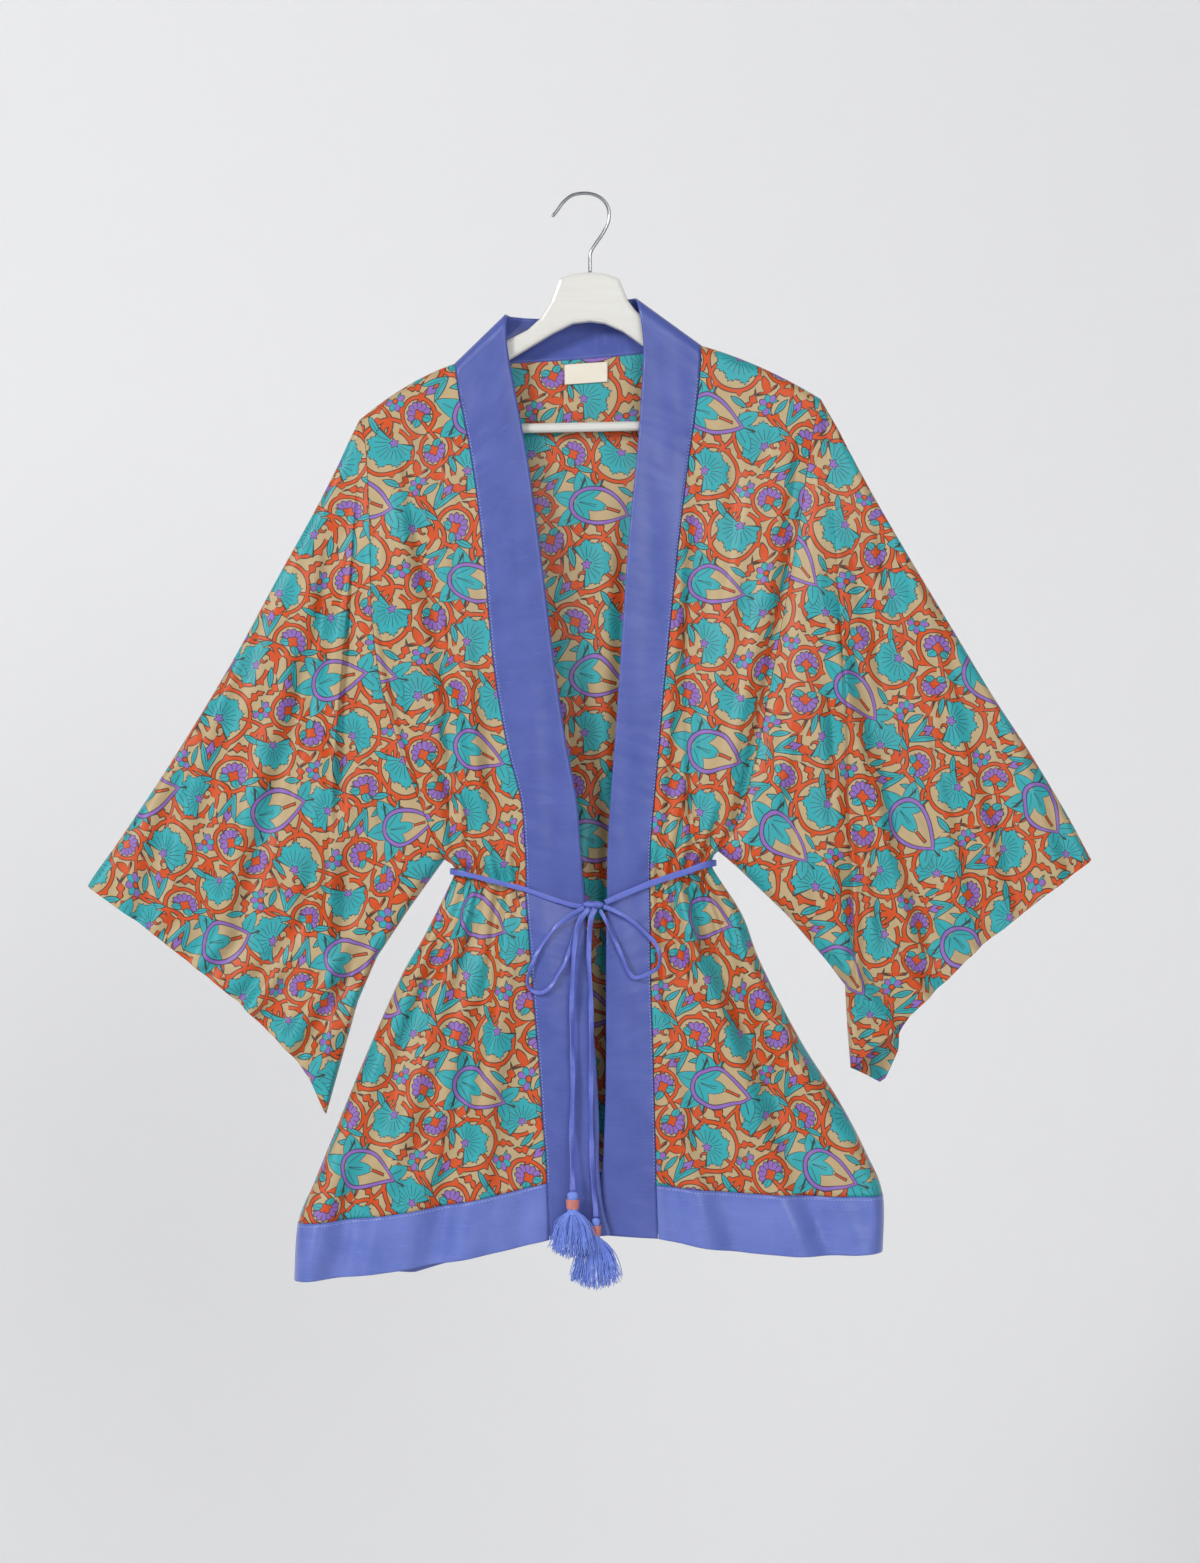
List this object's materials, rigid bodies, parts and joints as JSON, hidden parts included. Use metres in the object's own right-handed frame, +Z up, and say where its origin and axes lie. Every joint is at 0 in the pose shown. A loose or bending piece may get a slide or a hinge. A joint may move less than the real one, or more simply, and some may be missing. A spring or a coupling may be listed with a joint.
{
  "type": "kimono robe on a wooden hanger",
  "caption": "Open-fronted kimono robe with wide sleeves, plain neck and hem bands and a tied belt, hung on a wooden hanger.",
  "frame": {"origin": "inner top of the hanger's hook, where a rail carries it", "axes": "+Z up, +X to the right of someone facing the robe's front, the front faces -Y"},
  "size_m": [1.0036, 0.0842, 1.0952],
  "materials": {
    "print_cloth": "fine satin weave with a scrolling flower print",
    "plain_cloth": "fine periwinkle plain weave with a soft sheen",
    "belt_cloth": "narrow sewn tube of the band cloth",
    "tassel_yarn": "soft cut yarn",
    "binding_thread": "wound coral thread",
    "label_cloth": "smooth woven label, blank",
    "white_wood": "satin white lacquer over wood",
    "hook_wire": "polished bent wire"
  },
  "bodies": {
    "root": {"front_left": "print_cloth", "front_right": "print_cloth", "back_panel": "print_cloth", "sleeve_left": "print_cloth", "sleeve_right": "print_cloth", "neck_band": "plain_cloth", "hem_band_front_left": "plain_cloth", "hem_band_front_right": "plain_cloth", "hem_band_back": "plain_cloth", "neck_label": "label_cloth", "belt_waist": "belt_cloth", "belt_knot": "belt_cloth", "belt_loop_left": "belt_cloth", "belt_loop_right": "belt_cloth", "belt_end_left": "belt_cloth", "belt_end_right": "belt_cloth", "tassel_left": "tassel_yarn", "tassel_right": "tassel_yarn", "tassel_binding_left": "binding_thread", "tassel_binding_right": "binding_thread", "hanger_wood": "white_wood", "hanger_bar": "white_wood", "hanger_hook": "hook_wire"}
  },
  "joints": []
}
